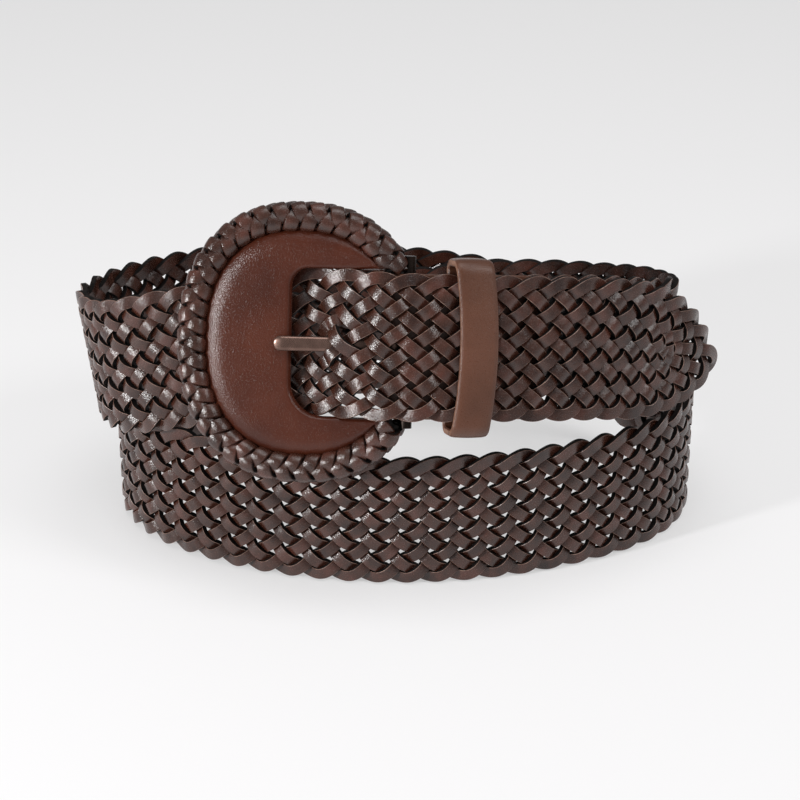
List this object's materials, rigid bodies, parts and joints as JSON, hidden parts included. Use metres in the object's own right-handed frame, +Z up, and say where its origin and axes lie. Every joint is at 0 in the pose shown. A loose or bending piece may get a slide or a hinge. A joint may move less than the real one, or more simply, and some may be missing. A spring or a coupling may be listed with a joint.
{
  "type": "braided belt",
  "caption": "Wide woven leather belt, fastened through a round crescent buckle with a laced rim and wound in turns that stand on edge.",
  "frame": {"origin": "on the surface that the belt stands on, under the middle of its bounding box", "axes": "+Z up, +X along the coil towards the strap's tip, -Y towards the buckle"},
  "size_m": [0.2298, 0.1484, 0.14],
  "materials": {
    "braid_leather": "satin dark brown leather laces with cut edges",
    "smooth_leather": "satin brown leather",
    "plate_leather": "satin brown leather with a fine grain",
    "rim_leather": "satin dark brown leather lacing",
    "bronze_metal": "satin taupe bronze paint"
  },
  "bodies": {
    "root": {"strap": "braid_leather", "buckle_tab": "smooth_leather", "buckle_plate": "plate_leather", "buckle_rim": "rim_leather", "buckle_bar": "bronze_metal", "prong": "bronze_metal", "keeper": "smooth_leather"}
  },
  "joints": []
}
